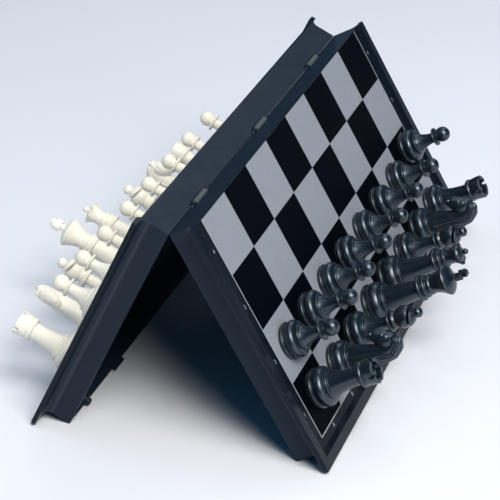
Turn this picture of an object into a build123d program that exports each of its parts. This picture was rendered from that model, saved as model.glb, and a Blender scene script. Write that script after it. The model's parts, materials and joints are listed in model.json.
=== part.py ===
from build123d import *
import math
import os

# A folding magnetic travel chess set. Two shallow moulded trays are joined by a hinge along their backs.
# Their outer faces carry the board, and shut together they make a flat box that stores the pieces.
# Here the board stands open as a tent, with the ridge along Y and both feet on the ground (z = 0).
# All lengths are in millimetres.
#
# Each half is drawn in its own frame: x runs from the hinge to the foot, y along the hinge, and z out of
# the board. z = 0 is the plane in which the two trays meet. The hinge axis is the line x = 0, z = 0.

# --- driving dimensions -------------------------------------------------------------------------------

SQUARE = 36.0
FILES = 8
RANKS_PER_HALF = 4
TENT_HALF_ANGLE = 27.5  # between each half and the vertical

# tray
GAP = 0.15  # each half keeps this far from the hinge axis planes
WALL = 2.4
WALL_REACH = 152.0  # outer wall faces, from the centre line and from the hinge axis
TRAY_DEPTH = 20.0  # meeting plane to the top of the rim
BOARD_LEVEL = 18.0  # playing surface
FLOOR_PANEL = 2.0  # panel under the board
WALL_CORNER = 1.2
HOLLOW_CORNER = 1.5
STANDING_BEVEL = 0.4  # flat on the foot's edge that meets the ground

# rim and flange round three sides
FLANGE_REACH = 160.3
FLANGE_THICKNESS = 3.0
FLANGE_CORNER = 2.0
FLANGE_EDGE = 0.8
FLARE = 4.4  # hollow curve between wall and flange
POCKET_REACH = 151.0
RIM_SLOPE = 2.6  # width of the rim's sloping inner edge
HINGE_LIP = 0.7

# board
SQUARE_MARGIN = 1.0  # hinge axis to the first square
STEEL = 0.4
FILM = 0.25
SHEET_GAP = 0.1

# hinge
KNUCKLE_CENTRES = (-104.0, 0.0, 104.0)
KNUCKLE_NAMES = ("near", "middle", "far")
BARREL_LENGTH = 17.0
EAR_LENGTH = 2.6
BARREL_RADIUS = 2.0
PIN_RADIUS = 0.8
PIN_CLEARANCE = 0.06
KNUCKLE_CLEARANCE = 0.4

# closing catches
PEG_Y = 130.0
PEG_X = 147.6
PEG_RADIUS = 2.3
PEG_HEIGHT = 2.8
PEG_BOSS = 3.6
SOCKET_CLEARANCE = 0.3
TAB_Y = 83.3
TAB_WIDTH = 12.5
TAB_THICKNESS = 1.9
TAB_HEIGHT = 2.6
TAB_ROOT = 6.0
BEAD = 0.6
BEAD_FROM_TIP = 0.9

# pieces
FELT = 0.8
FOOT_DISC = 1.8
MAGNET_RADIUS = 5.5
MAGNET_HEIGHT = 3.0
RING_INSET = 1.4
CHAMFER = 0.4

BACK_RANK = ("rook", "knight", "bishop", "king", "queen", "bishop", "knight", "rook")
FILE_NAMES = "abcdefgh"

# --- derived sizes ------------------------------------------------------------------------------------

SIN = math.sin(math.radians(TENT_HALF_ANGLE))
COS = math.cos(math.radians(TENT_HALF_ANGLE))
INNER_REACH = WALL_REACH - WALL
PANEL_UNDERSIDE = BOARD_LEVEL - STEEL - FILM - FLOOR_PANEL
PANEL_TOP = PANEL_UNDERSIDE + FLOOR_PANEL
RIDGE_HEIGHT = WALL_REACH * COS - GAP * SIN - STANDING_BEVEL * SIN
PIN_LENGTH = BARREL_LENGTH + 2 * EAR_LENGTH + 2 * KNUCKLE_CLEARANCE


def block(x0, x1, y0, y1, z0, z1):
    """A box given by its faces."""
    centre = Pos((x0 + x1) / 2, (y0 + y1) / 2, (z0 + z1) / 2)
    return centre * Box(x1 - x0, y1 - y0, z1 - z0)


def rod_y(radius, y0, y1, x=0.0, z=0.0):
    """A round rod along Y."""
    return Pos(x, (y0 + y1) / 2, z) * Rot(90, 0, 0) * Cylinder(radius, y1 - y0)


def rod_z(radius, x, y, z0, z1):
    """A round rod along Z."""
    return Pos(x, y, (z0 + z1) / 2) * Cylinder(radius, z1 - z0)


# --- tray ---------------------------------------------------------------------------------------------


def foot_corners(part, reach):
    """The two upright edges at a half's foot."""
    upright = part.edges().filter_by(Axis.Z)
    return [edge for edge in upright if edge.center().X > reach - 1]


def tray_shell():
    """The moulded tray without hinge or catches: walls, panel, flange, rim and board pocket."""
    walls = block(GAP, WALL_REACH, -WALL_REACH, WALL_REACH, GAP, BOARD_LEVEL)
    walls = fillet(foot_corners(walls, WALL_REACH), WALL_CORNER)
    flange_bottom = TRAY_DEPTH - FLANGE_THICKNESS
    flange = block(GAP, FLANGE_REACH, -FLANGE_REACH, FLANGE_REACH, flange_bottom, TRAY_DEPTH)
    flange = fillet(foot_corners(flange, FLANGE_REACH), FLANGE_CORNER)
    rounded = [
        edge
        for edge in flange.faces().sort_by(Axis.Z)[-1].edges() + flange.faces().sort_by(Axis.Z)[0].edges()
        if edge.center().X > GAP + 0.1
    ]
    flange = fillet(rounded, FLANGE_EDGE)
    shell = walls + flange
    joint_line = [
        edge
        for edge in shell.edges()
        if abs(edge.center().Z - flange_bottom) < 0.01
        and edge.center().X > GAP + 0.1
        and max(edge.center().X, abs(edge.center().Y)) < WALL_REACH + 0.1
    ]
    shell = fillet(joint_line, FLARE)
    return shell - board_pocket() - tray_hollow()


def board_pocket():
    """The recess for steel sheet and board film, open above the hinge wall, and the rim's slope."""
    recess = block(GAP + HINGE_LIP, POCKET_REACH, -POCKET_REACH, POCKET_REACH, PANEL_TOP, BOARD_LEVEL)
    lower = Pos(POCKET_REACH / 2 - 2.5, 0, BOARD_LEVEL) * Rectangle(POCKET_REACH + 5, 2 * POCKET_REACH)
    upper_reach = POCKET_REACH + RIM_SLOPE
    upper = Pos(upper_reach / 2 - 2.5, 0, TRAY_DEPTH) * Rectangle(upper_reach + 5, 2 * upper_reach)
    return recess + loft([lower.face(), upper.face()]) + Pos(0, 0, 1) * block(
        -5, upper_reach, -upper_reach, upper_reach, TRAY_DEPTH - 1, TRAY_DEPTH
    )


def tray_hollow():
    """The storage space inside the tray."""
    hollow = block(GAP + WALL, INNER_REACH, -INNER_REACH, INNER_REACH, -1, PANEL_UNDERSIDE)
    return fillet(hollow.edges().filter_by(Axis.Z), HOLLOW_CORNER)


def below_ground():
    """The space under the ground next to a foot's edge, which cuts the narrow flat that the tent stands on."""
    ground = Plane(origin=(RIDGE_HEIGHT / COS, 0, 0), x_dir=(SIN, 0, COS), z_dir=(COS, 0, -SIN))
    return ground * Pos(0, 0, 5) * Box(10, 2 * FLANGE_REACH, 10)


def knuckles(shell, carries_barrels):
    """Adds a half's own share of each hinge and clears the other half's share out of its wall."""
    half_barrel = BARREL_LENGTH / 2
    clear = BARREL_RADIUS + KNUCKLE_CLEARANCE
    bore = PIN_RADIUS + (PIN_CLEARANCE if carries_barrels else 0)
    for centre in KNUCKLE_CENTRES:
        barrel = (centre - half_barrel, centre + half_barrel)
        ears = (
            (barrel[0] - KNUCKLE_CLEARANCE - EAR_LENGTH, barrel[0] - KNUCKLE_CLEARANCE),
            (barrel[1] + KNUCKLE_CLEARANCE, barrel[1] + KNUCKLE_CLEARANCE + EAR_LENGTH),
        )
        own = [barrel] if carries_barrels else list(ears)
        others = list(ears) if carries_barrels else [barrel]
        for y0, y1 in others:
            shell -= rod_y(clear, y0 - KNUCKLE_CLEARANCE, y1 + KNUCKLE_CLEARANCE)
        for y0, y1 in own:
            shell += rod_y(BARREL_RADIUS, y0, y1)
        shell -= rod_y(bore, ears[0][0], ears[1][1])
    return shell


def peg_bosses():
    """Posts inside the foot wall, one near each corner, that hold the pegs or their sockets."""
    bosses = rod_z(PEG_BOSS, PEG_X, PEG_Y, GAP, PANEL_UNDERSIDE)
    bosses += rod_z(PEG_BOSS, PEG_X, -PEG_Y, GAP, PANEL_UNDERSIDE)
    return bosses & block(0, WALL_REACH, -WALL_REACH, WALL_REACH, 0, TRAY_DEPTH)


def pegs_and_tabs():
    """Locating pegs and snap tabs, which reach across the meeting plane into the other half."""
    features = peg_bosses()
    tab_face = INNER_REACH - SOCKET_CLEARANCE
    for side in (-1, 1):
        y = side * PEG_Y
        peg = rod_z(PEG_RADIUS, PEG_X, y, GAP - PEG_HEIGHT, GAP + 1)
        features += fillet(peg.faces().sort_by(Axis.Z)[0].edges(), PEG_RADIUS / 2)
        y0 = side * TAB_Y - TAB_WIDTH / 2
        y1 = side * TAB_Y + TAB_WIDTH / 2
        features += block(tab_face - TAB_THICKNESS, tab_face, y0, y1, GAP - TAB_HEIGHT, GAP + TAB_ROOT)
        features += block(tab_face - TAB_THICKNESS, INNER_REACH + 0.1, y0, y1, GAP, GAP + TAB_ROOT)
        features += rod_y(BEAD, y0 + 1, y1 - 1, tab_face, GAP - TAB_HEIGHT + BEAD_FROM_TIP)
    return features


def sockets_and_catches(shell):
    """The holes for the pegs, and the grooves in the foot wall that the tabs' beads snap into."""
    shell += peg_bosses()
    bead_level = TAB_HEIGHT - BEAD_FROM_TIP - GAP
    half_groove = BEAD + SOCKET_CLEARANCE
    for side in (-1, 1):
        shell -= rod_z(PEG_RADIUS + SOCKET_CLEARANCE, PEG_X, side * PEG_Y, -1, PEG_HEIGHT + SOCKET_CLEARANCE)
        y0 = side * TAB_Y - TAB_WIDTH / 2
        y1 = side * TAB_Y + TAB_WIDTH / 2
        z0 = bead_level - half_groove
        z1 = bead_level + half_groove
        shell -= block(INNER_REACH - 0.1, INNER_REACH + BEAD, y0, y1, z0, z1)
    return shell


def steel_sheet():
    """The thin steel sheet under the board film, which the pieces' magnets hold on to."""
    reach = POCKET_REACH - SHEET_GAP
    return block(GAP + HINGE_LIP + SHEET_GAP, reach, -reach, reach, PANEL_TOP, PANEL_TOP + STEEL)


def board_film():
    """The printed film that makes the playing surface of one half."""
    reach = POCKET_REACH - SHEET_GAP
    return block(GAP + HINGE_LIP + SHEET_GAP, reach, -reach, reach, BOARD_LEVEL - FILM, BOARD_LEVEL)


# --- pieces -------------------------------------------------------------------------------------------


def turned(steps):
    """A solid of revolution about Z. A step is (r, z), or (r, z, r_mid, z_mid) for an arc through the middle."""
    edges = []
    r, z = steps[0]
    for step in steps[1:]:
        start = (r, 0, z)
        r, z = step[0], step[1]
        if len(step) == 4:
            edges.append(ThreePointArc(start, (step[2], 0, step[3]), (r, 0, z)))
        else:
            edges.append(Line(start, (r, 0, z)))
    edges.append(Line((r, 0, z), (steps[0][0], 0, steps[0][1])))
    return revolve(make_face(edges), Axis.Z)


def ring(inner, outer, z0, z1):
    """Steps of a round-edged collar that stands out between two heights."""
    return [(inner, z0), (inner, z1, outer, (z0 + z1) / 2)]


def dome(r, z, top):
    """Last step of a profile: a true arc from (r, z) that closes level on the axis."""
    radius = (r * r + (top - z) ** 2) / (2 * (top - z))
    centre = top - radius
    middle = (math.atan2(z - centre, r) + math.pi / 2) / 2
    return (0, top, radius * math.cos(middle), centre + radius * math.sin(middle))


def foot_steps(radius, bulge_top):
    """Steps shared by every piece: foot disc, groove and the bulging moulding above it."""
    disc_top = FELT + FOOT_DISC
    groove = radius - RING_INSET
    middle = (disc_top + 1.2 + bulge_top) / 2
    return [
        (0, FELT),
        (radius - CHAMFER, FELT),
        (radius - CHAMFER, disc_top, radius, FELT + FOOT_DISC / 2),
        (groove, disc_top + 0.2),
        (groove, disc_top + 0.9),
        (radius - 0.8, disc_top + 1.3),
        (radius - 1.8, bulge_top, radius, middle),
    ]


def pawn():
    """Ball on a thin collar above a tapering stem."""
    steps = foot_steps(11.0, 9.0)
    steps += [(7.1, 9.6)] + ring(7.1, 7.7, 9.7, 11.2)
    steps += [(6.4, 11.4), (3.3, 22.6, 4.1, 16.6)]
    steps += ring(5.6, 6.0, 22.9, 24.1)
    steps += [(3.2, 25.0), dome(3.2, 25.0, 33.8)]
    return turned(steps)


def rook():
    """Tower with a ring below a battlemented head."""
    steps = foot_steps(12.0, 9.4)
    steps += [(8.6, 10.1)] + ring(8.5, 9.1, 10.3, 11.8)
    steps += [(7.5, 12.0), (5.2, 29.6, 5.7, 20.5)]
    steps += ring(6.6, 7.5, 29.9, 33.0)
    steps += [(6.8, 33.2), (7.1, 33.6), (7.6, 40.2), (5.2, 40.2), (5.2, 36.6), (0, 36.2)]
    tower = turned(steps)
    for turn in (0, 90):
        tower -= Rot(0, 0, turn) * block(-10, 10, -1.4, 1.4, 36.7, 41)
    return tower


def bishop():
    """Mitre with a slanting slit and a small knob, on two collars."""
    steps = foot_steps(12.0, 9.2)
    steps += [(8.2, 9.9)] + ring(8.1, 8.6, 10.1, 11.6)
    steps += [(6.8, 11.8), (3.7, 25.2, 4.4, 18.5)]
    steps += ring(6.1, 6.6, 25.6, 27.2)
    steps += [(4.5, 27.6)] + ring(5.1, 5.5, 28.1, 29.5)
    steps += [(4.4, 30.4), (2.4, 42.4, 6.9, 36.0), (2.2, 43.0), (3.1, 43.5), (3.2, 45.6)]
    steps += [dome(3.2, 45.6, 47.6)]
    slit = Pos(0, 0, 39.2) * Rot(0, 20, 0) * block(-12, 12, -12, 1, -0.8, 0.8)
    return turned(steps) - slit


def royal_stem(collars, foot_radius=12.8):
    """Foot, long stem and three collars, shared by queen and king."""
    steps = foot_steps(foot_radius, 11.0)
    steps += [(9.2, 11.8)] + ring(9.1, 9.7, 12.0, 13.8)
    steps += [(7.9, 14.0), (collars[0] - 2.4, 35.2, collars[0] - 1.3, 24.0)]
    steps += ring(collars[0] - 0.5, collars[0], 35.6, 37.6)
    steps += [(collars[1] - 0.9, 38.2)] + ring(collars[1] - 0.4, collars[1], 38.9, 40.6)
    steps += [(collars[2] - 0.9, 41.4)] + ring(collars[2] - 0.3, collars[2], 42.4, 43.8)
    return steps


def queen():
    """Flared cup with a notched rim and a ball."""
    steps = royal_stem((7.7, 6.8, 5.9))
    steps += [(4.7, 44.3), (7.4, 53.0, 5.3, 49.4), (6.6, 53.2), (5.6, 52.2), (1.5, 54.4, 4.0, 53.9)]
    steps += [(1.3, 55.3), dome(1.3, 55.3, 58.6)]
    crown = turned(steps)
    notch_count = 9
    for i in range(notch_count):
        angle = 360 * i / notch_count
        crown -= Rot(0, 0, angle) * Pos(7.2, 0, 53.6) * Rot(0, 90, 0) * Cylinder(1.1, 3.4)
    return crown


def king():
    """Column with a wide brim under a low dome and a cross."""
    steps = royal_stem((8.1, 7.0, 6.1))
    steps += [(5.4, 44.4), (9.5, 54.0, 6.9, 49.4), (9.8, 54.7)]
    steps += [(9.4, 55.2), (2.6, 57.9, 6.2, 57.2), (1.7, 58.5), (1.7, 60.5, 2.3, 59.5), (1.1, 61.0), (0, 61.2)]
    return turned(steps) + king_cross()


def king_cross():
    """A cross whose four arms widen outwards, standing on the king's dome."""
    centre = 64.2
    arm = 3.8
    waist = 1.1
    flare = 2.2
    corners = []
    for turn in range(4):
        angle = math.radians(90 * turn)
        for along, across in ((waist, -waist), (arm, -flare), (arm, flare)):
            y = along * math.cos(angle) - across * math.sin(angle)
            z = along * math.sin(angle) + across * math.cos(angle)
            corners.append((0, y, centre + z))
    cross = extrude(make_face(Polyline(*corners, close=True)), 1.4, dir=(1, 0, 0), both=True)
    return cross


def knight():
    """Horse's head and neck on the common foot, facing -x, towards the other player."""
    steps = foot_steps(12.0, 9.6)
    steps += [(8.7, 10.3)] + ring(8.6, 9.2, 10.5, 12.0) + [(7.6, 12.2), (0, 12.6)]
    neck_foot = 11.5
    back = Spline((5.6, neck_foot), (6.6, 18.0), (7.2, 26.0), (6.9, 34.0), (4.6, 41.2), (0.6, 44.6))
    ears = Polyline((0.6, 44.6), (-3.4, 44.2), (-5.4, 46.0), (-6.6, 42.6))
    brow_and_nose = Spline((-6.6, 42.6), (-9.0, 38.6), (-11.2, 34.0), (-12.0, 31.0))
    muzzle = ThreePointArc((-12.0, 31.0), (-12.2, 28.2), (-10.2, 26.6))
    jaw = Spline((-10.2, 26.6), (-7.4, 27.2), (-4.8, 28.8), (-3.4, 28.0))
    chest = Spline((-3.4, 28.0), (-4.6, 23.5), (-6.6, 18.0), (-7.2, neck_foot))
    side_view = make_face([back, ears, brow_and_nose, muzzle, jaw, chest, Line((-7.2, neck_foot), (5.6, neck_foot))])
    head = extrude(Rot(90, 0, 0) * side_view, 8, dir=(0, 1, 0), both=True)
    flank = Spline((5.8, neck_foot), (4.9, 20.0), (4.7, 30.0), (4.4, 38.0), (2.6, 46.2))
    opposite = Spline((-2.6, 46.2), (-4.4, 38.0), (-4.7, 30.0), (-4.9, 20.0), (-5.8, neck_foot))
    top_line = Line((2.6, 46.2), (-2.6, 46.2))
    front_view = make_face([flank, top_line, opposite, Line((-5.8, neck_foot), (5.8, neck_foot))])
    head &= extrude(Rot(0, 0, 90) * Rot(90, 0, 0) * front_view, 14, dir=(1, 0, 0), both=True)
    ear_gap = block(-7, -2, -0.7, 0.7, 43.4, 47)
    return turned(steps) + (head - ear_gap)


PIECE_MAKERS = {"pawn": pawn, "rook": rook, "knight": knight, "bishop": bishop, "queen": queen, "king": king}
FOOT_RADII = {"pawn": 11.0, "rook": 12.0, "knight": 12.0, "bishop": 12.0, "queen": 12.8, "king": 12.8}


def complete_piece(kind):
    """One chess piece as separate solids: moulded body, magnet in its foot, and felt disc."""
    body = PIECE_MAKERS[kind]()
    magnet = rod_z(MAGNET_RADIUS, 0, 0, FELT, FELT + MAGNET_HEIGHT)
    felt = rod_z(FOOT_RADII[kind] - 2 * CHAMFER, 0, 0, 0, FELT)
    return [body - magnet, magnet, felt]


# --- placing ------------------------------------------------------------------------------------------

RIDGE = (0, 0, RIDGE_HEIGHT)
HALVES = {
    "black": Plane(origin=RIDGE, x_dir=(SIN, 0, -COS), z_dir=(COS, 0, SIN)),
    "white": Plane(origin=RIDGE, x_dir=(-SIN, 0, -COS), z_dir=(-COS, 0, SIN)),
}


# Pieces set down by hand stand a little off their square's centre: towards the foot, and along the ridge.
OFF_CENTRE = {
    "black_rook_a": (-2.2, 2.0),
    "black_pawn_f": (0.0, 1.5),
    "black_pawn_g": (0.0, 3.0),
    "black_pawn_h": (-5.8, 5.8),
    "white_pawn_a": (0.0, 6.5),
    "white_pawn_b": (0.0, 2.5),
    "white_king_d": (0.0, -4.0),
    "white_queen_e": (0.0, -9.0),
}

# ... and a few are turned on their square. Degrees about the board's normal.
TURNED = {"white_knight_b": -58.0, "white_bishop_c": 180.0, "white_bishop_f": 180.0}


def standing_place(name, side, file_index, row_from_foot):
    """Where a piece stands, in its half's own frame. The white half is turned, so its y runs the other way."""
    down, along = OFF_CENTRE.get(name, (0.0, 0.0))
    along += (file_index + 0.5 - FILES / 2) * SQUARE
    y = along if side == "black" else -along
    x = SQUARE_MARGIN + (RANKS_PER_HALF - row_from_foot - 0.5) * SQUARE + down
    return Pos(x, y, BOARD_LEVEL) * Rot(0, 0, TURNED.get(name, 0.0))


def write(name, solids, place):
    """Writes one node, placed in the standing tent."""
    placed = [place * solid for solid in solids]
    shape = placed[0] if len(placed) == 1 else Compound(children=placed)
    shape.label = name
    export_step(shape, f"parts/{name}.step")


def main():
    os.makedirs("parts", exist_ok=True)
    black, white = HALVES["black"], HALVES["white"]
    shell = tray_shell() - below_ground()
    write("black_case_half", [sockets_and_catches(knuckles(shell, True))], black)
    write("white_case_half", [knuckles(shell, False) + pegs_and_tabs() - below_ground()], white)
    for side, place in HALVES.items():
        write(f"{side}_steel_sheet", [steel_sheet()], place)
        write(f"{side}_board_film", [board_film()], place)
    for name, centre in zip(KNUCKLE_NAMES, KNUCKLE_CENTRES):
        pin = rod_y(PIN_RADIUS, centre - PIN_LENGTH / 2, centre + PIN_LENGTH / 2)
        write(f"{name}_hinge_pin", [pin], black)
    kinds = {kind: complete_piece(kind) for kind in PIECE_MAKERS}
    for side, place in HALVES.items():
        for i, letter in enumerate(FILE_NAMES):
            for row, kind in enumerate((BACK_RANK[i], "pawn")):
                name = f"{side}_{kind}_{letter}"
                write(name, kinds[kind], place * standing_place(name, side, i, row))


main()
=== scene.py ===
import json
import math

import bmesh
import bpy
import numpy as np
from mathutils import Matrix, Vector


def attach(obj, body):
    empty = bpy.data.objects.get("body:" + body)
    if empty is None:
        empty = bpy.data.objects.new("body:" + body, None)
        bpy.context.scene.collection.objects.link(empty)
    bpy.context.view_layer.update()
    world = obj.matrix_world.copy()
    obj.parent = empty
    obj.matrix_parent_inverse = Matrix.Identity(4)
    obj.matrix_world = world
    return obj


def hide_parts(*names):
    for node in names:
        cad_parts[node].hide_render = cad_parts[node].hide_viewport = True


# A folding magnetic travel chess set, standing as a tent. Lengths inside the functions are millimetres in
# the frame of one half or of one piece, and become metres of the row frame when an object is placed.

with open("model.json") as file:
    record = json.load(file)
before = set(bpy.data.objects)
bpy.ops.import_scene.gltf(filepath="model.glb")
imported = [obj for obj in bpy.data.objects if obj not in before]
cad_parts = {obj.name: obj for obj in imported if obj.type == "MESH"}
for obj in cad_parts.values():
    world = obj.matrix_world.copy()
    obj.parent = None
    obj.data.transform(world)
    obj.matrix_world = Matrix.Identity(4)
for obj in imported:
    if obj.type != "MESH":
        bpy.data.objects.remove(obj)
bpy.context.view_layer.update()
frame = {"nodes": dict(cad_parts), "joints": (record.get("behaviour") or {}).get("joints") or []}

MM = 0.001

# --- sizes that the CAD model doesn't name ------------------------------------------------------------

SQUARE = 36.0
SQUARE_MARGIN = 1.0  # hinge axis to the first square
RANKS = 4
FILES = 8
BOARD_LEVEL = 18.0
FILM_EDGE = 0.95  # hinge axis to the film's edge
FILM_REACH = 150.9
FILM_THICKNESS = 0.25
LINE_WIDTH = 0.7  # the thin line that frames the squares
LETTER_OUT = 147.3  # the squares' hinge-side edge to the middle of the file letters
DIGIT_OUT = 148.8  # centre line to the middle of the rank digits
LABEL_HEIGHT = 2.7
CAPITAL_SHARE = 0.73  # height of a capital in the built-in font, for a size of 1
LABEL_STEP = 0.02  # how far the printed characters stand proud of the film

BACK_RANK = ("rook", "knight", "bishop", "king", "queen", "bishop", "knight", "rook")
FILE_LETTERS = "abcdefgh"


# --- frames -------------------------------------------------------------------------------------------

fold = next(j for j in frame["joints"] if j["name"] == "fold")
RIDGE = Vector(fold["pos_m"])
lift = next(j for j in frame["joints"] if j["name"] == "lift_black_king_d")
NORMAL = Vector(lift["axis"]).normalized()


def half_matrix(side):
    """Row-frame matrix of one half: x from the hinge to the foot, z out of the board, in millimetres."""
    sign = 1 if side == "black" else -1
    z = Vector((sign * NORMAL.x, 0, NORMAL.z))
    y = Vector((0, sign, 0))
    x = y.cross(z)
    m = Matrix((x, y, z)).transposed().to_4x4()
    m.translation = RIDGE
    return m @ Matrix.Scale(MM, 4)


HALF = {side: half_matrix(side) for side in ("black", "white")}


# A few pieces are turned on their square, in degrees about the board's normal.
TURNED = {"white_knight_b": -58.0, "white_bishop_c": 180.0, "white_bishop_f": 180.0}


FOOT_SLICE = 3.0  # height of a piece's round foot, from which its centre is measured


def foot_centre(node, side):
    """Where a piece stands on its half, from its CAD node."""
    back = HALF[side].inverted()
    co = np.array([back @ v.co for v in frame["nodes"][node].data.vertices])
    foot = co[co[:, 2] < co[:, 2].min() + FOOT_SLICE]
    low, high = foot.min(0), foot.max(0)
    return (low[0] + high[0]) / 2, (low[1] + high[1]) / 2


# --- node materials -----------------------------------------------------------------------------------

MIX_FIRST, MIX_SECOND, MIX_RESULT = 6, 7, 2  # the colour sockets of a Mix node


class Nodes:
    """A short way to build a node material."""

    def __init__(self, name):
        self.material = bpy.data.materials.new(name)
        self.material.use_nodes = True
        self.tree = self.material.node_tree
        self.shader = self.tree.nodes["Principled BSDF"]
        self.coords = self.tree.nodes.new("ShaderNodeTexCoord").outputs["Object"]

    def node(self, kind, **values):
        made = self.tree.nodes.new(kind)
        for key, value in values.items():
            if key in made.inputs:
                made.inputs[key].default_value = value
            else:
                setattr(made, key, value)
        return made

    def link(self, out, into):
        self.tree.links.new(out, into)

    def noise(self, per_mm, detail=4, roughness=0.5, distortion=0.0, stretch=None):
        made = self.node("ShaderNodeTexNoise", noise_dimensions="3D")
        made.inputs["Scale"].default_value = per_mm / MM
        made.inputs["Detail"].default_value = detail
        made.inputs["Roughness"].default_value = roughness
        made.inputs["Distortion"].default_value = distortion
        source = self.coords
        if stretch:
            mapping = self.node("ShaderNodeMapping")
            mapping.inputs["Scale"].default_value = stretch
            self.link(source, mapping.inputs["Vector"])
            source = mapping.outputs["Vector"]
        self.link(source, made.inputs["Vector"])
        return made.outputs["Fac"]

    def spread(self, source, low, high, from_low=0.3, from_high=0.7):
        made = self.node("ShaderNodeMapRange")
        self.link(source, made.inputs["Value"])
        limits = {"From Min": from_low, "From Max": from_high, "To Min": low, "To Max": high}
        for key, value in limits.items():
            made.inputs[key].default_value = value
        return made.outputs["Result"]

    def blend(self, factor, low, high):
        made = self.node("ShaderNodeMix", data_type="RGBA")
        self.link(factor, made.inputs["Factor"])
        made.inputs[MIX_FIRST].default_value = (*low, 1)
        made.inputs[MIX_SECOND].default_value = (*high, 1)
        return made.outputs[MIX_RESULT]

    def mix(self, factor, colour, other):
        """Blends a colour socket towards a fixed colour."""
        made = self.node("ShaderNodeMix", data_type="RGBA")
        self.link(factor, made.inputs["Factor"])
        self.link(colour, made.inputs[MIX_FIRST])
        made.inputs[MIX_SECOND].default_value = (*other, 1)
        return made.outputs[MIX_RESULT]

    def math(self, operation, first, second=None):
        made = self.node("ShaderNodeMath", operation=operation)
        self.link(first, made.inputs[0])
        if isinstance(second, (int, float)):
            made.inputs[1].default_value = second
        elif second is not None:
            self.link(second, made.inputs[1])
        return made.outputs["Value"]

    def bump(self, height, depth_mm, strength=1.0, after=None):
        made = self.node("ShaderNodeBump")
        made.inputs["Strength"].default_value = strength
        made.inputs["Distance"].default_value = depth_mm * MM
        self.link(height, made.inputs["Height"])
        if after is not None:
            self.link(after, made.inputs["Normal"])
        return made.outputs["Normal"]

    def set(self, **values):
        for key, value in values.items():
            self.shader.inputs[key.replace("_", " ")].default_value = value


KNUCKLE_PITCH = 104.0  # hinge knuckles at the middle and this far from it, along Y
BARREL_HALF = 8.5
BARREL_RADIUS = 2.0
# Paler grey painted on the hinge barrels as a highlight.
BARREL_PAINTED_SHEEN = (0.065, 0.077, 0.085)
FLANGE_EDGE = (16.6, 17.2)  # heights between which the wall's tone turns into the flange's
FLANGE_TONE = (0.001, 0.002, 0.004)
FLANGE_SHARE = 0.7
FLANGE_GLOSS = 0.2  # how much less rough the flange is
FLARE_START = 12.8  # height at which the end walls begin to flare out to the flange, where the painted highlight band lies
# Colour, strength and width of the paler band painted along the end walls' bend as a highlight.
FLARE_HIGHLIGHT_TONE = (0.045, 0.055, 0.07)
FLARE_HIGHLIGHT_SHARE = 0.6
FLARE_HIGHLIGHT_WIDTH = 1.6
WALL_REACH = 152.0
EDGE_RADIUS = 0.45  # the case's worn edges


def tone_case(n, colour):
    """Darkens the flange and rim, and paints paler highlight bands on the end walls' bend and on the hinge
    barrels.
    """
    moved = n.node("ShaderNodeVectorMath", operation="SUBTRACT")
    moved.inputs[1].default_value = RIDGE
    n.link(n.coords, moved.inputs[0])
    parts = n.node("ShaderNodeSeparateXYZ")
    n.link(moved.outputs["Vector"], parts.inputs["Vector"])
    side = n.math("ABSOLUTE", parts.outputs["X"])
    height = parts.outputs["Z"]
    rise = n.math("ADD", n.math("MULTIPLY", side, NORMAL.x), n.math("MULTIPLY", height, NORMAL.z))
    flange = n.spread(rise, 0, 1, FLANGE_EDGE[0] * MM, FLANGE_EDGE[1] * MM)
    colour = n.mix(n.math("MULTIPLY", flange, FLANGE_SHARE), colour, FLANGE_TONE)
    # A painted highlight: a paler band along the bend of the near and far end walls.
    from_flare_highlight = n.math("ABSOLUTE", n.math("SUBTRACT", rise, FLARE_START * MM))
    on_flare_highlight = n.spread(from_flare_highlight, FLARE_HIGHLIGHT_SHARE, 0, 0, FLARE_HIGHLIGHT_WIDTH * MM)
    from_middle = n.math("ABSOLUTE", parts.outputs["Y"])
    on_end_wall = n.spread(from_middle, 0, 1, (WALL_REACH - 1) * MM, (WALL_REACH - 0.5) * MM)
    colour = n.mix(n.math("MULTIPLY", on_flare_highlight, on_end_wall), colour, FLARE_HIGHLIGHT_TONE)
    # A painted highlight: the hinge barrels are painted a paler grey.
    away = n.math("SQRT", n.math("ADD", n.math("POWER", side, 2), n.math("POWER", height, 2)))
    along = n.math("PINGPONG", parts.outputs["Y"], KNUCKLE_PITCH / 2 * MM)
    near_axis = n.spread(away, 1, 0, BARREL_RADIUS * MM, (BARREL_RADIUS + 0.15) * MM)
    near_barrel = n.spread(along, 1, 0, BARREL_HALF * MM, (BARREL_HALF + 0.1) * MM)
    return n.mix(n.math("MULTIPLY", near_axis, near_barrel), colour, BARREL_PAINTED_SHEEN), flange


NO_TINT = (1, 1, 1)


def plastic(name, dark, light, rough, grain_mm, grain_depth, specular, tint=NO_TINT, case_tones_and_sheen=False):
    """Moulded plastic: uneven tone, uneven gloss, a fine moulded grain and slow sink waves."""
    gloss_spread = 0.06
    n = Nodes(name)
    tone = n.noise(0.035, detail=5, roughness=0.6)
    colour = n.blend(n.spread(tone, 0, 1), dark, light)
    gloss = n.spread(n.noise(0.11, detail=6, roughness=0.65), rough - gloss_spread, rough + gloss_spread)
    # On the case: a darker flange, and painted highlights on the end walls' bend and on the hinge barrels.
    if case_tones_and_sheen:
        colour, flange = tone_case(n, colour)
        gloss = n.math("SUBTRACT", gloss, n.math("MULTIPLY", flange, FLANGE_GLOSS))
    n.link(colour, n.shader.inputs["Base Color"])
    n.link(gloss, n.shader.inputs["Roughness"])
    worn_edges = None
    if case_tones_and_sheen:
        worn_edges = n.node("ShaderNodeBevel", samples=4, Radius=EDGE_RADIUS * MM).outputs["Normal"]
    waves = n.bump(n.noise(0.05, detail=1), 0.05, 0.5, worn_edges)
    n.link(n.bump(n.noise(1 / grain_mm, detail=2), grain_depth, 1.0, waves), n.shader.inputs["Normal"])
    n.set(IOR=1.49, Specular_IOR_Level=specular, Specular_Tint=(*tint, 1))
    return n.material


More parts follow.
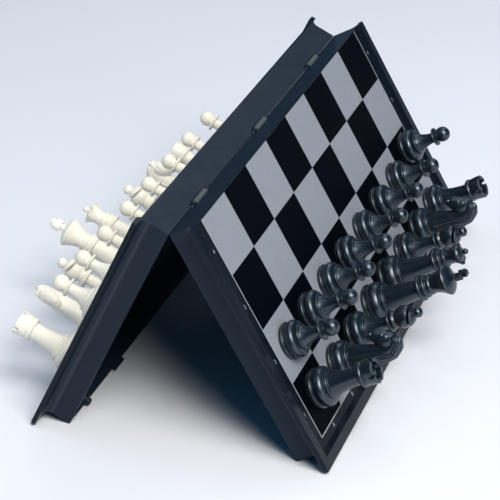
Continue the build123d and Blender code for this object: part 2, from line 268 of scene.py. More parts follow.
def metal(name, colour, rough):
    """Plain steel with fine lines along Y."""
    n = Nodes(name)
    lines = n.noise(0.9, detail=6, roughness=0.7, stretch=(1.0, 0.03, 1.0))
    bright = tuple(min(1.0, c * 1.25) for c in colour)
    n.link(n.blend(n.spread(lines, 0, 1), colour, bright), n.shader.inputs["Base Color"])
    n.link(n.spread(lines, rough - 0.08, rough + 0.1), n.shader.inputs["Roughness"])
    n.link(n.bump(lines, 0.01), n.shader.inputs["Normal"])
    n.set(Metallic=1.0)
    return n.material


def felt(name, dark, light):
    """Pressed felt: short tangled fibres."""
    n = Nodes(name)
    fibres = n.noise(2.2, detail=8, roughness=0.8, distortion=1.5)
    n.link(n.blend(n.spread(fibres, 0, 1), dark, light), n.shader.inputs["Base Color"])
    n.link(n.bump(fibres, 0.12), n.shader.inputs["Normal"])
    n.set(Roughness=0.95, Sheen_Weight=0.4)
    return n.material


def printed(name, dark, light, rough, specular, tint=NO_TINT):
    """Screen-printed film: slight mottling of the ink and an orange-peel surface."""
    n = Nodes(name)
    mottle = n.noise(0.6, detail=7, roughness=0.7)
    n.link(n.blend(n.spread(mottle, 0, 1), dark, light), n.shader.inputs["Base Color"])
    gloss = n.noise(0.05, detail=4)
    n.link(n.spread(gloss, rough - 0.04, rough + 0.04), n.shader.inputs["Roughness"])
    n.link(n.bump(n.noise(1.1, detail=2), 0.012, 0.6), n.shader.inputs["Normal"])
    n.set(IOR=1.5, Specular_IOR_Level=specular, Specular_Tint=(*tint, 1))
    return n.material


BLUE_SHEEN = (0.75, 0.88, 1.0)
PIECE_SHEEN = (0.73, 0.87, 1.0)

# The case gets a darker flange, worn edges and painted highlights on its end walls' bend and hinge barrels.
CASE = plastic(
    "case_plastic", (0.006, 0.012, 0.021), (0.009, 0.016, 0.028),
    rough=0.44, grain_mm=0.35, grain_depth=0.012, specular=0.22, tint=BLUE_SHEEN, case_tones_and_sheen=True,
)
BLACK_PIECE = plastic(
    "black_piece_plastic", (0.0015, 0.0045, 0.0075), (0.003, 0.007, 0.012),
    rough=0.31, grain_mm=0.5, grain_depth=0.006, specular=0.95, tint=PIECE_SHEEN,
)
WHITE_PIECE = plastic(
    "white_piece_plastic", (0.84, 0.80, 0.69), (0.90, 0.87, 0.77),
    rough=0.38, grain_mm=0.5, grain_depth=0.006, specular=0.4,
)
STEEL = metal("sheet_steel", (0.42, 0.43, 0.45), rough=0.35)
PIN_STEEL = metal("pin_steel", (0.5, 0.51, 0.53), rough=0.25)
SILVER = printed("silver_print", (0.195, 0.212, 0.242), (0.235, 0.254, 0.285), rough=0.5, specular=0.3)
DARK = printed(
    "dark_print", (0.0003, 0.001, 0.002), (0.001, 0.002, 0.004), rough=0.55, specular=0.02, tint=BLUE_SHEEN,
)
BORDER = printed(
    "border_print", (0.002, 0.004, 0.008), (0.003, 0.006, 0.010), rough=0.4, specular=0.1, tint=BLUE_SHEEN,
)
WHITE_INK = printed("white_ink", (0.25, 0.27, 0.295), (0.31, 0.33, 0.355), rough=0.5, specular=0.3)
FELT = felt("foot_felt", (0.01, 0.01, 0.012), (0.03, 0.03, 0.034))


def wear(obj, *materials):
    obj.data.materials.clear()
    for m in materials:
        obj.data.materials.append(m)


for name in ("black_case_half", "white_case_half"):
    wear(frame["nodes"][name], CASE)
for name in ("black_steel_sheet", "white_steel_sheet"):
    wear(frame["nodes"][name], STEEL)
for name in ("near_hinge_pin", "middle_hinge_pin", "far_hinge_pin"):
    wear(frame["nodes"][name], PIN_STEEL)


# --- making objects -----------------------------------------------------------------------------------


def mesh_from(bm, name):
    """A bmesh with outward normals, as a mesh."""
    mesh = bpy.data.meshes.new(name)
    bmesh.ops.recalc_face_normals(bm, faces=bm.faces)
    bm.to_mesh(mesh)
    bm.free()
    return mesh


def place_mesh(name, mesh, materials, matrix, body, replaced=()):
    """An object that rides on a body. Its mesh, not the object, is moved into the row frame."""
    mesh.transform(matrix)
    for m in materials:
        mesh.materials.append(m)
    obj = bpy.data.objects.new(name, mesh)
    bpy.context.scene.collection.objects.link(obj)
    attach(obj, body)
    if replaced:
        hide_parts(*replaced)
    return obj


# --- board print --------------------------------------------------------------------------------------

DARK_SLOT, SILVER_SLOT, INK_SLOT, BORDER_SLOT = range(4)
PRINT_MATERIALS = (DARK, SILVER, WHITE_INK, BORDER)


def squares_mesh():
    """The film as one closed sheet. Its top is cut along the squares and the framing line."""
    half_width = FILES / 2 * SQUARE
    foot_edge = SQUARE_MARGIN + RANKS * SQUARE
    xs = [FILM_EDGE] + [SQUARE_MARGIN + k * SQUARE for k in range(RANKS + 1)]
    xs += [foot_edge + LINE_WIDTH, FILM_REACH]
    ys = [-FILM_REACH, -half_width - LINE_WIDTH]
    ys += [-half_width + k * SQUARE for k in range(FILES + 1)]
    ys += [half_width + LINE_WIDTH, FILM_REACH]
    bm = bmesh.new()
    top = [[bm.verts.new((x, y, BOARD_LEVEL)) for y in ys] for x in xs]
    low = [[bm.verts.new((x, y, BOARD_LEVEL - FILM_THICKNESS)) for y in ys] for x in xs]

    def square_colour(x, y):
        k = math.floor((x - SQUARE_MARGIN) / SQUARE)
        i = math.floor((y + half_width) / SQUARE)
        if 0 <= k < RANKS and 0 <= i < FILES and x > SQUARE_MARGIN:
            return SILVER_SLOT if (k + i) % 2 == 0 else DARK_SLOT
        on_line = SQUARE_MARGIN < x < foot_edge + LINE_WIDTH and abs(y) < half_width + LINE_WIDTH
        return INK_SLOT if on_line else BORDER_SLOT

    for a in range(len(xs) - 1):
        for b in range(len(ys) - 1):
            face = bm.faces.new((top[a][b], top[a + 1][b], top[a + 1][b + 1], top[a][b + 1]))
            face.material_index = square_colour((xs[a] + xs[a + 1]) / 2, (ys[b] + ys[b + 1]) / 2)
            bm.faces.new((low[a][b + 1], low[a + 1][b + 1], low[a + 1][b], low[a][b]))
    last_a, last_b = len(xs) - 1, len(ys) - 1
    for a in range(last_a):
        bm.faces.new((top[a][0], low[a][0], low[a + 1][0], top[a + 1][0]))
        bm.faces.new((top[a + 1][last_b], low[a + 1][last_b], low[a][last_b], top[a][last_b]))
    for b in range(last_b):
        bm.faces.new((top[0][b + 1], low[0][b + 1], low[0][b], top[0][b]))
        bm.faces.new((top[last_a][b], low[last_a][b], low[last_a][b + 1], top[last_a][b + 1]))
    return bm


def add_character(bm, character, x, y):
    """One printed character, upright for the player who sits at this half's foot."""
    curve = bpy.data.curves.new("label", "FONT")
    curve.body = character
    curve.size = LABEL_HEIGHT / CAPITAL_SHARE
    curve.resolution_u = 4
    text = bpy.data.objects.new("label", curve)
    bpy.context.scene.collection.objects.link(text)
    bpy.context.view_layer.update()
    flat = bmesh.new()
    flat.from_mesh(text.evaluated_get(bpy.context.evaluated_depsgraph_get()).to_mesh())
    bpy.data.objects.remove(text)
    bmesh.ops.remove_doubles(flat, verts=flat.verts, dist=1e-5)
    made = bmesh.ops.extrude_face_region(flat, geom=flat.faces[:])
    raised = [v for v in made["geom"] if isinstance(v, bmesh.types.BMVert)]
    bmesh.ops.translate(flat, vec=(0, 0, 2 * LABEL_STEP), verts=raised)
    bmesh.ops.recalc_face_normals(flat, faces=flat.faces)
    middle = sum((v.co.xy for v in flat.verts), Vector((0, 0))) / len(flat.verts)
    start = len(bm.verts)
    for v in flat.verts:
        up, along = v.co.y - middle.y, v.co.x - middle.x
        bm.verts.new((x - up, y + along, BOARD_LEVEL - LABEL_STEP + v.co.z))
    bm.verts.ensure_lookup_table()
    flat.verts.index_update()
    for face in flat.faces:
        copy = bm.faces.new([bm.verts[start + v.index] for v in face.verts])
        copy.material_index = INK_SLOT
    flat.free()


def add_labels(bm, side):
    """File letters along the foot and rank digits along both ends."""
    for i in range(FILES):
        y = (i + 0.5 - FILES / 2) * SQUARE
        across = y if side == "black" else -y
        add_character(bm, FILE_LETTERS[i].upper(), SQUARE_MARGIN + LETTER_OUT, across)
    for row in range(RANKS):
        digit = row + 1 if side == "black" else 2 * RANKS - row
        x = SQUARE_MARGIN + (RANKS - row - 0.5) * SQUARE
        for end in (-1, 1):
            add_character(bm, str(digit), x, end * DIGIT_OUT)


for side in ("black", "white"):
    film = squares_mesh()
    bmesh.ops.recalc_face_normals(film, faces=film.faces)
    add_labels(film, side)
    mesh = bpy.data.meshes.new(f"{side}_board_print")
    film.to_mesh(mesh)
    film.free()
    place_mesh(
        f"{side}_board_print", mesh, PRINT_MATERIALS, HALF[side], f"{side}_half",
        (f"{side}_board_film",),
    )


# --- turned pieces ------------------------------------------------------------------------------------


def arc_points(start, middle, end, count):
    """Points on the circle through three points, after start up to end."""
    ax, az = start
    bx, bz = middle
    cx, cz = end
    d = 2 * (ax * (bz - cz) + bx * (cz - az) + cx * (az - bz))
    if abs(d) < 1e-9:
        return [end]
    a, b, c = (x * x + z * z for x, z in (start, middle, end))
    ux = (a * (bz - cz) + b * (cz - az) + c * (az - bz)) / d
    uz = (a * (cx - bx) + b * (ax - cx) + c * (bx - ax)) / d
    a0 = math.atan2(az - uz, ax - ux)
    a1 = math.atan2(bz - uz, bx - ux)
    a2 = math.atan2(cz - uz, cx - ux)
    turn = (a2 - a0) % math.tau
    if (a1 - a0) % math.tau > turn:
        turn -= math.tau
    r = math.hypot(ax - ux, az - uz)
    return [
        (ux + r * math.cos(a0 + turn * k / count), uz + r * math.sin(a0 + turn * k / count))
        for k in range(1, count + 1)
    ]


def outline(steps, fine=1.0):
    """Profile points from steps: (r, z) is a corner, (r, z, r_mid, z_mid) ends an arc."""
    points = [tuple(steps[0])]
    for step in steps[1:]:
        start = points[-1]
        end = (step[0], step[1])
        if len(step) == 4:
            size = math.dist(start, step[2:]) + math.dist(step[2:], end)
            points += arc_points(start, step[2:], end, max(8, int(size * 2 * fine)))
        else:
            points.append(end)
    return points


def soften(points, radius=0.22, min_turn=14.0, share=0.42, steps=3):
    """Rounds the corners of a profile a little, as a mould does, using up to a share of each side."""
    out = [points[0]]
    for before, here, after in zip(points, points[1:], points[2:]):
        a = Vector((before[0] - here[0], before[1] - here[1]))
        b = Vector((after[0] - here[0], after[1] - here[1]))
        if a.length < 1e-6 or b.length < 1e-6:
            continue
        turn = math.degrees(math.pi - a.angle(b))
        if turn < min_turn:
            out.append(here)
            continue
        reach = min(radius, share * a.length, share * b.length)
        p = Vector(here) + a.normalized() * reach
        q = Vector(here) + b.normalized() * reach
        for k in range(steps + 1):
            t = k / steps
            point = p * (1 - t) ** 2 + Vector(here) * 2 * t * (1 - t) + q * t * t
            out.append((point.x, point.y))
    out.append(points[-1])
    return out


def lathe(points, segments=96, shape=None, angles=None):
    """Revolves a profile about z into a closed mesh. shape(r, z, angle) may move each point."""
    angles = angles or [math.tau * k / segments for k in range(segments)]
    bm = bmesh.new()
    rings = []
    for r, z in points:
        if r < 1e-6:
            rings.append([bm.verts.new((0, 0, z))])
            continue
        ring = []
        for angle in angles:
            rr, zz = shape(r, z, angle) if shape else (r, z)
            ring.append(bm.verts.new((rr * math.cos(angle), rr * math.sin(angle), zz)))
        rings.append(ring)
    count = len(angles)
    for low, high in zip(rings, rings[1:]):
        for k in range(count):
            m = (k + 1) % count
            if len(low) == 1:
                bm.faces.new((low[0], high[m], high[k]))
            elif len(high) == 1:
                bm.faces.new((low[k], low[m], high[0]))
            else:
                bm.faces.new((low[k], low[m], high[m], high[k]))
    return bm


FELT_THICKNESS = 0.8
FELT_LIFT = 0.02  # the nap's tips stop just short of the print
FOOT_DISC = 1.8
CHAMFER = 0.4
RING_INSET = 1.4
FOOT_RADII = {"pawn": 11.0, "rook": 12.0, "knight": 12.0, "bishop": 12.0, "queen": 12.8, "king": 12.8}


def ring(inner, outer, z0, z1):
    return [(inner, z0), (inner, z1, outer, (z0 + z1) / 2)]


def dome(r, z, top):
    radius = (r * r + (top - z) ** 2) / (2 * (top - z))
    centre = top - radius
    middle = (math.atan2(z - centre, r) + math.pi / 2) / 2
    return (0, top, radius * math.cos(middle), centre + radius * math.sin(middle))


def foot_steps(radius, bulge_top):
    disc_top = FELT_THICKNESS + FOOT_DISC
    groove = radius - RING_INSET
    middle = (disc_top + 1.2 + bulge_top) / 2
    return [
        (0, FELT_THICKNESS),
        (radius - CHAMFER, FELT_THICKNESS),
        (radius - CHAMFER, disc_top, radius, FELT_THICKNESS + FOOT_DISC / 2),
        (groove, disc_top + 0.2),
        (groove, disc_top + 0.9),
        (radius - 0.8, disc_top + 1.3),
        (radius - 1.8, bulge_top, radius, middle),
    ]


def pawn_steps():
    steps = foot_steps(FOOT_RADII["pawn"], 9.0)
    steps += [(7.1, 9.6)] + ring(7.1, 7.7, 9.7, 11.2)
    steps += [(6.4, 11.4), (3.3, 22.6, 4.1, 16.6)]
    steps += ring(5.6, 6.0, 22.9, 24.1)
    steps += [(3.2, 25.0), dome(3.2, 25.0, 33.8)]
    return steps


def rook_steps():
    steps = foot_steps(FOOT_RADII["rook"], 9.4)
    steps += [(8.6, 10.1)] + ring(8.5, 9.1, 10.3, 11.8)
    steps += [(7.5, 12.0), (5.2, 29.6, 5.7, 20.5)]
    steps += ring(6.6, 7.5, 29.9, 33.0)
    steps += [(6.8, 33.2), (7.1, 33.6), (7.6, 40.2), (5.2, 40.2), (5.2, 36.6), (0, 36.2)]
    return steps


def bishop_steps():
    steps = foot_steps(FOOT_RADII["bishop"], 9.2)
    steps += [(8.2, 9.9)] + ring(8.1, 8.6, 10.1, 11.6)
    steps += [(6.8, 11.8), (3.7, 25.2, 4.4, 18.5)]
    steps += ring(6.1, 6.6, 25.6, 27.2)
    steps += [(4.5, 27.6)] + ring(5.1, 5.5, 28.1, 29.5)
    steps += [(4.4, 30.4), (2.4, 42.4, 6.9, 36.0), (2.2, 43.0)]
    steps += [(3.1, 43.5), (3.2, 45.6), dome(3.2, 45.6, 47.6)]
    return steps


def royal_steps(collars):
    steps = foot_steps(FOOT_RADII["king"], 11.0)
    steps += [(9.2, 11.8)] + ring(9.1, 9.7, 12.0, 13.8)
    steps += [(7.9, 14.0), (collars[0] - 2.4, 35.2, collars[0] - 1.3, 24.0)]
    steps += ring(collars[0] - 0.5, collars[0], 35.6, 37.6)
    steps += [(collars[1] - 0.9, 38.2)] + ring(collars[1] - 0.4, collars[1], 38.9, 40.6)
    steps += [(collars[2] - 0.9, 41.4)] + ring(collars[2] - 0.3, collars[2], 42.4, 43.8)
    return steps


def queen_steps():
    steps = royal_steps((7.7, 6.8, 5.9))
    steps += [(4.7, 44.3), (7.4, 53.0, 5.3, 49.4), (6.6, 53.2), (5.6, 52.2), (1.5, 54.4, 4.0, 53.9)]
    steps += [(1.3, 55.3), dome(1.3, 55.3, 58.6)]
    return steps


def king_steps():
    steps = royal_steps((8.1, 7.0, 6.1))
    steps += [(5.4, 44.4), (9.5, 54.0, 6.9, 49.4), (9.8, 54.7)]
    steps += [(9.4, 55.2), (2.6, 57.9, 6.2, 57.2), (1.7, 58.5), (1.7, 60.5, 2.3, 59.5)]
    steps += [(1.1, 61.0), (0, 61.2)]
    return steps


def merged(bm, cutter, operation):
    """A boolean of two bmeshes, as a new bmesh."""
    objs = []
    for b in (bm, cutter):
        mesh = bpy.data.meshes.new("boolean_part")
        bmesh.ops.recalc_face_normals(b, faces=b.faces)
        b.to_mesh(mesh)
        b.free()
        obj = bpy.data.objects.new("boolean_part", mesh)
        bpy.context.scene.collection.objects.link(obj)
        objs.append(obj)
    modifier = objs[0].modifiers.new("join", "BOOLEAN")
    modifier.operation = operation
    modifier.solver = "EXACT"
    modifier.object = objs[1]
    bpy.context.view_layer.update()
    done = objs[0].evaluated_get(bpy.context.evaluated_depsgraph_get()).to_mesh()
    out = bmesh.new()
    out.from_mesh(done)
    for obj in objs:
        bpy.data.objects.remove(obj)
    return out


def box_bm(size, matrix):
    bm = bmesh.new()
    bmesh.ops.create_cube(bm, size=1.0)
    bmesh.ops.scale(bm, vec=size, verts=bm.verts)
    bmesh.ops.transform(bm, matrix=matrix, verts=bm.verts)
    return bm


def pawn_bm():
    return lathe(soften(outline(pawn_steps())))


def smooth_step(t):
    t = max(0.0, min(1.0, t))
    return t * t * (3 - 2 * t)


def gap_share(angle, count, offset, width):
    """1 inside each of the evenly spaced gaps, 0 between them, with rounded corners."""
    step = math.tau / count
    away = abs((angle - offset + step / 2) % step - step / 2)
    edge = 0.045
    return smooth_step((width / 2 + edge / 2 - away) / edge)


def angles_with_gaps(count, offset, width, plain=96):
    """Angles for a lathe, crowded together at the sides of the gaps."""
    fine_step = 0.0055
    fine_steps = 5
    closest = 0.002
    found = {round(math.tau * k / plain, 5) for k in range(plain)}
    for g in range(count):
        for side in (-1, 1):
            edge = offset + math.tau * g / count + side * width / 2
            for k in range(-fine_steps, fine_steps + 1):
                found.add(round((edge + k * fine_step) % math.tau, 5))
    kept = []
    for angle in sorted(found):
        if not kept or angle - kept[-1] > closest:
            kept.append(angle)
    return kept


ROOK_GAPS = 4
GAP_ANGLE = 0.33
GAP_FLOOR = 37.5


def rook_bm():
    """The rook, whose battlements are let down to the gaps' floor at each gap."""
    head, top, inner = 34.2, 40.2, 4.9

    def shape(r, z, angle):
        if z > head and r > inner:
            share = gap_share(angle, ROOK_GAPS, 0.0, GAP_ANGLE)
            z -= share * (z - head) / (top - head) * (top - GAP_FLOOR)
        return r, z

    points = soften(outline(rook_steps()), 0.3)
    return lathe(points, shape=shape, angles=angles_with_gaps(ROOK_GAPS, 0.0, GAP_ANGLE))


SLIT_HEIGHT = 39.2
SLIT_TILT = 20.0
SLIT_SIZE = (24, 13, 1.6)
SLIT_BACK = 5.5  # how far the middle of the cut lies to one side of the mitre's


def bishop_bm():
    body = lathe(soften(outline(bishop_steps(), 1.6)))
    place = Matrix.Translation((0, 0, SLIT_HEIGHT)) @ Matrix.Rotation(math.radians(SLIT_TILT), 4, "Y")
    slit = box_bm(SLIT_SIZE, place @ Matrix.Translation((0, -SLIT_BACK, 0)))
    return merged(body, slit, "DIFFERENCE")


CORONET_POINTS = 9
CORONET_DEPTH = 1.15


def queen_bm():
    """The queen, whose crown's rim is let down between the points."""
    low, top, inner = 50.6, 53.2, 5.9

    def shape(r, z, angle):
        if z > low and r > inner:
            wave = abs(math.cos(angle * CORONET_POINTS / 2)) ** 0.7
            z -= CORONET_DEPTH * (1 - wave) * (z - low) / (top - low)
        return r, z

    return lathe(soften(outline(queen_steps(), 1.6)), 144, shape)


KING_HEIGHT = 68.0
CROSS_ARM = 4.5
CROSS_WAIST = 1.3  # half the width of an arm at the middle of the cross
CROSS_TIP = 2.6  # and at its end
CROSS_DEPTH = 3.2
CROSS_EDGE = 0.28


def king_bm():
    body = lathe(soften(outline(king_steps())))
    corners = []
    for turn in range(4):
        a = math.tau / 4 * turn
        arm = ((CROSS_WAIST, -CROSS_WAIST), (CROSS_ARM, -CROSS_TIP), (CROSS_ARM, CROSS_TIP))
        for along, across in arm:
            y = along * math.cos(a) - across * math.sin(a)
            z = along * math.sin(a) + across * math.cos(a)
            corners.append((-CROSS_DEPTH / 2, y, z + KING_HEIGHT - CROSS_ARM))
    bm = bmesh.new()
    face = bm.faces.new([bm.verts.new(corner) for corner in corners])
    out = bmesh.ops.extrude_face_region(bm, geom=[face])
    moved = [v for v in out["geom"] if isinstance(v, bmesh.types.BMVert)]
    bmesh.ops.translate(bm, vec=(CROSS_DEPTH, 0, 0), verts=moved)
    bmesh.ops.recalc_face_normals(bm, faces=bm.faces)
    bmesh.ops.bevel(bm, geom=bm.edges[:], offset=CROSS_EDGE, segments=3, affect="EDGES", profile=0.5)
    return merged(body, bm, "UNION")


def tube(bm, sections, count=36):
    """A closed loft. A section is the front point, the back point (both x, z) and half the width."""
    rings = []
    for (x0, z0), (x1, z1), width in sections:
        ring = []
        for k in range(count):
            a = math.tau * k / count
            t = (1 - math.cos(a)) / 2
            ring.append(bm.verts.new((x0 + (x1 - x0) * t, width * math.sin(a), z0 + (z1 - z0) * t)))
        rings.append(ring)
    for low, high in zip(rings, rings[1:]):
        for k in range(count):
            m = (k + 1) % count
            bm.faces.new((low[k], low[m], high[m], high[k]))
    bm.faces.new(rings[0][::-1])
    bm.faces.new(rings[-1])


# Sections of the knight, as tube() takes them.
NECK = (
    ((-7.2, 11.0), (5.8, 11.0), 5.8),
    ((-6.9, 16.5), (7.2, 17.5), 5.1),
    ((-5.4, 22.0), (8.4, 24.5), 4.8),
    ((-3.8, 27.0), (8.9, 31.5), 4.7),
    ((-3.2, 32.0), (7.6, 38.2), 4.7),
    ((-3.8, 36.0), (4.4, 43.0), 4.4),
    ((-5.3, 38.5), (-0.2, 44.8), 3.9),
    ((-6.2, 40.6), (-3.6, 44.4), 2.8),
)
HEAD = (
    ((-0.5, 31.5), (0.5, 43.6), 3.8),
    ((-3.4, 29.4), (-5.0, 43.6), 4.6),
    ((-5.8, 28.4), (-8.0, 40.6), 4.4),
    ((-7.6, 27.4), (-10.0, 37.2), 3.7),
    ((-9.2, 26.4), (-11.6, 34.0), 3.2),
    ((-10.4, 26.2), (-12.4, 31.8), 2.8),
    ((-11.2, 27.0), (-12.6, 30.0), 1.9),
)
POLL = (
    ((-6.3, 41.6), (-3.4, 42.6), 2.6),
    ((-5.9, 44.0), (-4.5, 44.6), 2.2),
)
EAR = (-4.9, 2.1, 43.6)
EAR_TILT = -12.0
EAR_RADII = (1.55, 0.35)
EAR_LENGTH = 3.8

# Relief of the knight. Each feature has its place in the side view, how far it stands out, and its size.
EYE = (-7.4, 38.4)
EYE_BULGE, EYE_SIZE = 0.35, 0.9
SOCKET_DEPTH, SOCKET_RADIUS, SOCKET_WIDTH = 0.22, 1.5, 0.5
NOSTRIL = (-11.5, 31.0)
NOSTRIL_DEPTH, NOSTRIL_SIZE = 0.7, 0.65
MUZZLE_SIDE = 0.9  # the nostrils begin this far from the middle
MOUTH = ((-12.8, 28.4), (-8.4, 29.4))
MOUTH_DEPTH, MOUTH_WIDTH = 0.5, 0.36
MOUTH_BACK = -7.0
SPINE = (12.0, 1.2, 0.055)  # the neck's middle line: height where it starts, x there, and its lean
CREST = 37.0  # height above which the mane comes forward over the head
CREST_LEAN = 0.9
MANE_START = 12.6
MANE_FRONT = 2.25  # radians round from the nape to the mane's edge, low on the neck
MANE_NARROWS = 0.8  # and how much less at the head
MANE_RISE = 0.15
LOCKS, LOCK_DEPTH = 11, 0.6
STRANDS, STRAND_DEPTH = 33, 0.16


def bell(distance, width):
    return math.exp(-((distance / width) ** 2))


def from_line(x, z, line):
    """Distance in the side view from a point to a line between two points."""
    (x0, z0), (x1, z1) = line
    t = ((x - x0) * (x1 - x0) + (z - z0) * (z1 - z0)) / ((x1 - x0) ** 2 + (z1 - z0) ** 2)
    t = max(0.0, min(1.0, t))
    return math.hypot(x - x0 - t * (x1 - x0), z - z0 - t * (z1 - z0))


def knight_relief(co):
    """How far the surface stands out at a point: locks of the mane, eyes, nostrils and mouth."""
    spine = SPINE[1] + SPINE[2] * (co.z - SPINE[0])
    over = CREST_LEAN * max(0.0, co.z - CREST)
    around = math.atan2(abs(co.y), co.x - spine + over)
    front = MANE_FRONT - MANE_NARROWS * smooth_step((co.z - 26) / 10)
    mane = smooth_step((front - around) / 0.14) * smooth_step((co.z - MANE_START) / 1.5)
    sway = math.sin(co.z * 0.21)
    locks = 0.5 + 0.5 * math.cos(around * LOCKS + 1.1 * sway + co.z * 0.05)
    strands = math.cos(around * STRANDS + 2.0 * sway + co.z * 0.1)
    out = mane * (LOCK_DEPTH * locks ** 0.8 + STRAND_DEPTH * strands + MANE_RISE)
    from_eye = math.hypot(co.x - EYE[0], co.z - EYE[1])
    out += EYE_BULGE * bell(from_eye, EYE_SIZE)
    out -= SOCKET_DEPTH * bell(from_eye - SOCKET_RADIUS, SOCKET_WIDTH)
    if abs(co.y) > MUZZLE_SIDE:
        out -= NOSTRIL_DEPTH * bell(math.hypot(co.x - NOSTRIL[0], co.z - NOSTRIL[1]), NOSTRIL_SIZE)
    if co.x < MOUTH_BACK:
        out -= MOUTH_DEPTH * bell(from_line(co.x, co.z, MOUTH), MOUTH_WIDTH)
    return out


def knight_bm():
    """The knight. Its neck, head and ears are melted into one skin, which then gets the relief."""
    head = bmesh.new()
    for sections in (NECK, HEAD, POLL):
        tube(head, sections)
    bmesh.ops.recalc_face_normals(head, faces=head.faces)
    for side in (-1, 1):
        place = Matrix.Translation((EAR[0], side * EAR[1], EAR[2]))
        ear = place @ Matrix.Rotation(math.radians(EAR_TILT), 4, "Y")
        bmesh.ops.create_cone(
            head, cap_ends=True, segments=20, radius1=EAR_RADII[0], radius2=EAR_RADII[1], depth=EAR_LENGTH,
            matrix=ear,
        )
    obj = bpy.data.objects.new("knight_head", mesh_from(head, "knight_head"))
    bpy.context.scene.collection.objects.link(obj)
    remesh = obj.modifiers.new("remesh", "REMESH")
    remesh.mode = "VOXEL"
    remesh.voxel_size = 0.3
    smooth = obj.modifiers.new("smooth", "SMOOTH")
    smooth.factor = 0.5
    smooth.iterations = 8
    bpy.context.view_layer.update()
    head = bmesh.new()
    head.from_mesh(obj.evaluated_get(bpy.context.evaluated_depsgraph_get()).to_mesh())
    bpy.data.objects.remove(obj)
    head.normal_update()
    moves = [v.normal * knight_relief(v.co) for v in head.verts]
    for v, move in zip(head.verts, moves):
        v.co += move
    seat = [(8.7, 10.3)] + ring(8.6, 9.2, 10.5, 12.0) + [(7.6, 12.2), (0, 12.6)]
    foot = lathe(soften(outline(foot_steps(FOOT_RADII["knight"], 9.6) + seat)))
    return merged(foot, head, "UNION")


PIECE_BM = {
    "pawn": pawn_bm,
    "rook": rook_bm,
    "knight": knight_bm,
    "bishop": bishop_bm,
    "queen": queen_bm,
    "king": king_bm,
}


def felt_bm(radius):
    points = [(0, FELT_LIFT), (radius, FELT_LIFT), (radius, FELT_THICKNESS), (0, FELT_THICKNESS)]
    return lathe(soften(points, 0.15), 64)


PIECE_MATERIAL = {"black": BLACK_PIECE, "white": WHITE_PIECE}
master = {}
for kind, make in PIECE_BM.items():
    master[kind] = mesh_from(make(), kind)
    master[kind].shade_smooth()
    master[kind].set_sharp_from_angle(angle=math.radians(50))
    master[kind, "felt"] = mesh_from(felt_bm(FOOT_RADII[kind] - 2 * CHAMFER), f"{kind}_felt")
    master[kind, "felt"].shade_smooth()

for side in ("black", "white"):
    for index, letter in enumerate(FILE_LETTERS):
        for kind in (BACK_RANK[index], "pawn"):
            name = f"{side}_{kind}_{letter}"
            x, y = foot_centre(name, side)
            turn = Matrix.Rotation(math.radians(TURNED.get(name, 0.0)), 4, "Z")
            matrix = HALF[side] @ Matrix.Translation((x, y, BOARD_LEVEL)) @ turn
            place_mesh(
                f"{name}_body", master[kind].copy(), (PIECE_MATERIAL[side],), matrix, name, (name,),
            )
            place_mesh(f"{name}_felt", master[kind, "felt"].copy(), (FELT,), matrix, name)


# --- floor, light and camera --------------------------------------------------------------------------


FLOOR_REACH = 6.0
CENTRE = Vector((0, 0, 0.07))  # what the lamps point at
WORLD_COLOUR = (0.12, 0.5, 1.0, 1)
WORLD_STRENGTH = 0.17


def stage_floor():
    bm = bmesh.new()
    bmesh.ops.create_grid(bm, x_segments=1, y_segments=1, size=FLOOR_REACH)
    mesh = bpy.data.meshes.new("floor")
    bm.to_mesh(mesh)
    bm.free()
    floor = bpy.data.objects.new("floor", mesh)
    bpy.context.scene.collection.objects.link(floor)
    n = Nodes("floor_paper")
    tone = n.noise(0.002, detail=3)
    paper = n.blend(n.spread(tone, 0, 1), (0.72, 0.74, 0.80), (0.76, 0.78, 0.83))
    n.link(paper, n.shader.inputs["Base Color"])
    n.link(n.bump(n.noise(0.6, detail=4), 0.02, 0.3), n.shader.inputs["Normal"])
    n.set(Roughness=0.55, Specular_IOR_Level=0.3)
    wear(floor, n.material)


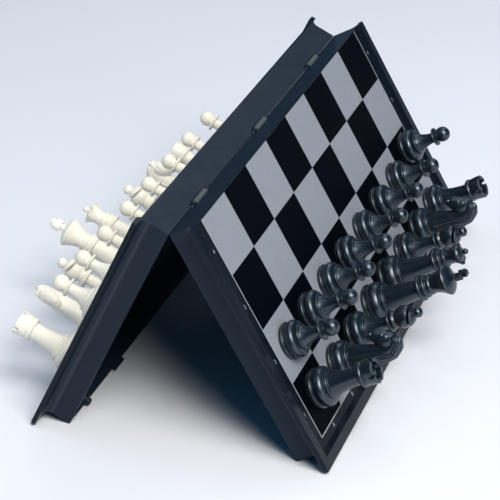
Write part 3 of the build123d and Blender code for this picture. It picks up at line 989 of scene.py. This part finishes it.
def softbox(name, bearing, height, distance, size, power, colour):
    """A square soft light. Bearing and height are angles: from the near side (-Y) to +X, and up."""
    turn, up = math.radians(bearing), math.radians(height)
    away = Vector((math.sin(turn) * math.cos(up), -math.cos(turn) * math.cos(up), math.sin(up)))
    away *= distance
    data = bpy.data.lights.new(name, "AREA")
    data.shape = "RECTANGLE"
    data.size = size
    data.size_y = size
    data.energy = power
    data.color = colour
    lamp = bpy.data.objects.new(name, data)
    bpy.context.scene.collection.objects.link(lamp)
    lamp.location = away + CENTRE
    lamp.rotation_mode = "QUATERNION"
    lamp.rotation_quaternion = (-away).to_track_quat("-Z", "Y")


stage_floor()
softbox("key_low", 48, 45, 2.4, 1.2, 37, (1.0, 0.965, 0.905))
softbox("key_high", 50, 55, 2.4, 1.0, 35, (1.0, 0.965, 0.905))
softbox("overhead", 0, 89, 2.2, 1.5, 8.5, (1.0, 0.97, 0.93))
softbox("left_fill", 270, 38, 2.2, 1.0, 5.5, (0.93, 0.97, 1.0))
softbox("back_fill", 175, 48, 2.2, 1.3, 8.0, (1.0, 0.97, 0.94))
softbox("low_card", 58, 9, 2.6, 0.8, 7.0, (0.97, 0.99, 1.0))

world = bpy.data.worlds.new("studio")
world.use_nodes = True
background = world.node_tree.nodes["Background"]
background.inputs["Color"].default_value = WORLD_COLOUR
background.inputs["Strength"].default_value = WORLD_STRENGTH
bpy.context.scene.world = world

CAMERA_PLACE = (0.3807, -1.05642, 0.63337)
CAMERA_TURN = (20.264, 27.487, -2.108)  # degrees: left of +Y, down, and roll
CAMERA_LENS = 145.24
SENSOR_WIDTH = 36.0

camera_data = bpy.data.cameras.new("camera")
camera_data.lens = CAMERA_LENS
camera_data.sensor_width = SENSOR_WIDTH
camera = bpy.data.objects.new("camera", camera_data)
bpy.context.scene.collection.objects.link(camera)
turn, down, roll = (math.radians(a) for a in CAMERA_TURN)
camera.matrix_world = (
    Matrix.Translation(CAMERA_PLACE)
    @ Matrix.Rotation(turn, 4, "Z")
    @ Matrix.Rotation(math.pi / 2 - down, 4, "X")
    @ Matrix.Rotation(roll, 4, "Z")
)
bpy.context.scene.camera = camera
bpy.context.scene.view_settings.view_transform = "Standard"
